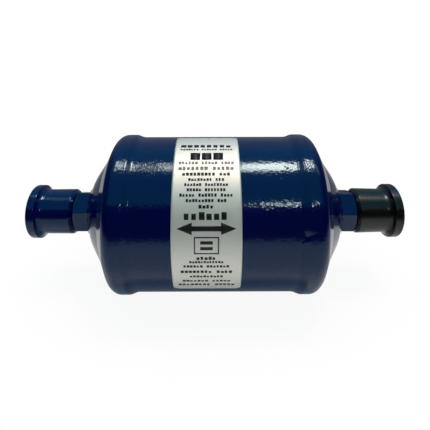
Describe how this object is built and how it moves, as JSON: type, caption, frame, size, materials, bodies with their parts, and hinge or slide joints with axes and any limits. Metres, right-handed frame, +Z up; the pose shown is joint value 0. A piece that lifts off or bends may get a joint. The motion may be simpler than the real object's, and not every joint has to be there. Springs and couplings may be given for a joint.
{
  "type": "filter drier",
  "caption": "In-line two-way filter drier: a blue steel shell with domed ends, hexagon flare fittings under push-on caps, a wrapped label, and a desiccant block with check valves inside.",
  "frame": {"origin": "middle of the shell on the flow axis", "axes": "+X along the flow axis through both fittings, +Z up; the label faces -Y and up"},
  "size_m": [0.184, 0.0786, 0.0786],
  "materials": {
    "blue_paint": "gloss enamel with a slight orange peel",
    "painted_cap": "plastic under the same gloss enamel",
    "black_cap": "satin black",
    "label_film": "silvery white film",
    "plated_steel": "zinc plated",
    "spring_steel": "bright wire",
    "brass": "turned",
    "valve_polymer": "natural polymer",
    "desiccant": "rough bonded beads",
    "felt": "white felt",
    "gasket_rubber": "black"
  },
  "bodies": {
    "drier": {"shell_tube": "blue_paint", "end_head_left": "blue_paint", "end_head_right": "blue_paint", "girth_weld_left": "blue_paint", "girth_weld_right": "blue_paint", "neck_weld_left": "blue_paint", "neck_weld_right": "blue_paint", "flare_fitting_left": "blue_paint", "flare_fitting_right": "blue_paint", "label": "label_film", "valve_plate_left": "plated_steel", "valve_plate_right": "plated_steel", "port_bushing_left": "brass", "port_bushing_right": "brass", "outlet_cage_left": "plated_steel", "outlet_cage_right": "plated_steel", "outlet_spring_left": "spring_steel", "outlet_spring_right": "spring_steel", "inlet_spring_left": "spring_steel", "inlet_spring_right": "spring_steel", "spring_seat_left": "plated_steel", "spring_seat_right": "plated_steel", "desiccant_core": "desiccant", "filter_sleeve": "felt", "inner_screen": "plated_steel", "core_gasket_left": "gasket_rubber", "core_gasket_right": "gasket_rubber", "core_retainer": "plated_steel", "core_spring": "spring_steel"},
    "dust_cap_left": {"dust_cap_left": "painted_cap"},
    "dust_cap_right": {"dust_cap_right": "black_cap"},
    "outlet_disc_left": {"outlet_disc_left": "valve_polymer"},
    "outlet_disc_right": {"outlet_disc_right": "valve_polymer"},
    "inlet_ring_left": {"inlet_ring_left": "valve_polymer"},
    "inlet_ring_right": {"inlet_ring_right": "valve_polymer"}
  },
  "joints": [
    {"name": "cap_left_pull", "type": "slide", "parent": "drier", "child": "dust_cap_left", "axis": [-1, 0, 0], "range_m": [0, 0.024]},
    {"name": "outlet_valve_left", "type": "slide", "parent": "drier", "child": "outlet_disc_left", "axis": [-1, 0, 0], "range_m": [0, 0.002], "stiffness_N_per_m": 60, "springref_m": -0.002, "deforming": ["outlet_spring_left"]},
    {"name": "inlet_valve_left", "type": "slide", "parent": "drier", "child": "inlet_ring_left", "axis": [1, 0, 0], "range_m": [0, 0.0015], "stiffness_N_per_m": 120, "springref_m": -0.0015, "deforming": ["inlet_spring_left"]},
    {"name": "cap_right_pull", "type": "slide", "parent": "drier", "child": "dust_cap_right", "axis": [1, 0, 0], "range_m": [0, 0.024]},
    {"name": "outlet_valve_right", "type": "slide", "parent": "drier", "child": "outlet_disc_right", "axis": [1, 0, 0], "range_m": [0, 0.002], "stiffness_N_per_m": 60, "springref_m": -0.002, "deforming": ["outlet_spring_right"]},
    {"name": "inlet_valve_right", "type": "slide", "parent": "drier", "child": "inlet_ring_right", "axis": [-1, 0, 0], "range_m": [0, 0.0015], "stiffness_N_per_m": 120, "springref_m": -0.0015, "deforming": ["inlet_spring_right"]}
  ]
}
